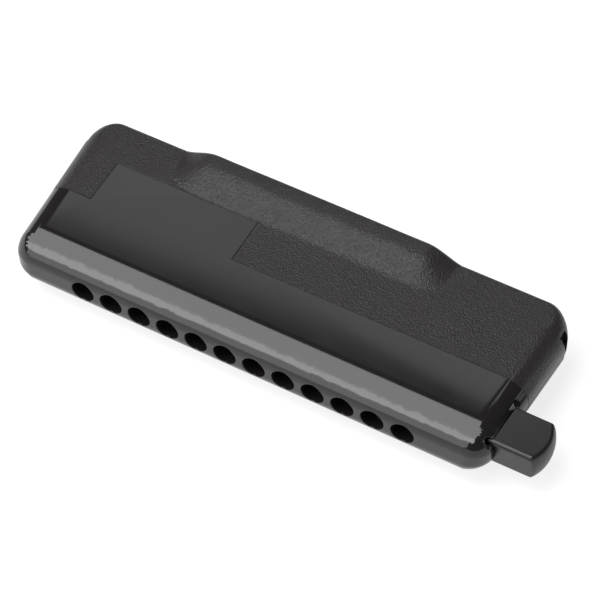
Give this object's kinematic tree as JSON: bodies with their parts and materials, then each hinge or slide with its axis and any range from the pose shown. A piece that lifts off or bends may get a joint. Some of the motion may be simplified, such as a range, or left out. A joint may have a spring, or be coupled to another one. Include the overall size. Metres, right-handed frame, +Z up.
{
  "type": "harmonica",
  "caption": "Chromatic harmonica with a one-piece rounded housing, round breath holes, a spring-loaded slide button, a comb with reed plates and two side latches.",
  "frame": {"origin": "bottom centre of the instrument's bounding box, on the surface it stands on", "axes": "+X along the row of holes towards the slide button, +Y from the mouthpiece to the back, +Z up"},
  "size_m": [0.163, 0.0522, 0.024],
  "materials": {
    "housing_plastic": "moulded black ABS, smooth in front, fine grain behind",
    "guide_plastic": "satin black",
    "slide_steel": "ground and polished",
    "comb_plastic": "satin black",
    "spring_steel": "bright drawn wire",
    "stop_rubber": "matt",
    "seal_rubber": "matt",
    "button_plastic": "satin sides, coarse grained end",
    "pin_steel": "bright",
    "latch_plastic": "satin dark grey",
    "plate_brass": "milled brass",
    "reed_brass": "fine ground brass",
    "rivet_brass": "pressed brass",
    "valve_film": "matt film",
    "screw_steel": "nickel plated"
  },
  "bodies": {
    "harmonica_body": {"housing": "housing_plastic", "slide_guide": "guide_plastic", "comb": "comb_plastic", "slide_spring": "spring_steel", "slide_stop": "stop_rubber", "mouthpiece_seal": "seal_rubber", "comb_seal": "seal_rubber", "latch_pins": "pin_steel", "upper_reed_plate": "plate_brass", "upper_draw_reeds": "reed_brass", "upper_blow_reeds": "reed_brass", "upper_reed_rivets": "rivet_brass", "upper_outer_valves": "valve_film", "upper_inner_valves": "valve_film", "upper_plate_screws": "screw_steel", "lower_reed_plate": "plate_brass", "lower_draw_reeds": "reed_brass", "lower_blow_reeds": "reed_brass", "lower_reed_rivets": "rivet_brass", "lower_outer_valves": "valve_film", "lower_inner_valves": "valve_film", "lower_plate_screws": "screw_steel"},
    "slide": {"slide_plate": "slide_steel", "slide_button": "button_plastic", "button_pins": "pin_steel"},
    "right_catch": {"right_latch": "latch_plastic"},
    "left_catch": {"left_latch": "latch_plastic"}
  },
  "joints": [
    {"name": "slide_press", "type": "slide", "parent": "harmonica_body", "child": "slide", "axis": [1, 0, 0], "range_m": [-0.0045, 0], "stiffness_N_per_m": 250, "springref_m": 0.003, "deforming": ["slide_spring"]},
    {"name": "right_latch_press", "type": "hinge", "parent": "harmonica_body", "child": "right_catch", "pos_m": [0.0595, -0.00165, 0.012], "axis": [0, 0, 1], "range_deg": [0, 7], "stiffness_Nm_per_rad": 0.15, "springref_deg": -4.58},
    {"name": "left_latch_press", "type": "hinge", "parent": "harmonica_body", "child": "left_catch", "pos_m": [-0.0705, -0.00165, 0.012], "axis": [0, 0, -1], "range_deg": [0, 7], "stiffness_Nm_per_rad": 0.15, "springref_deg": -4.58}
  ]
}
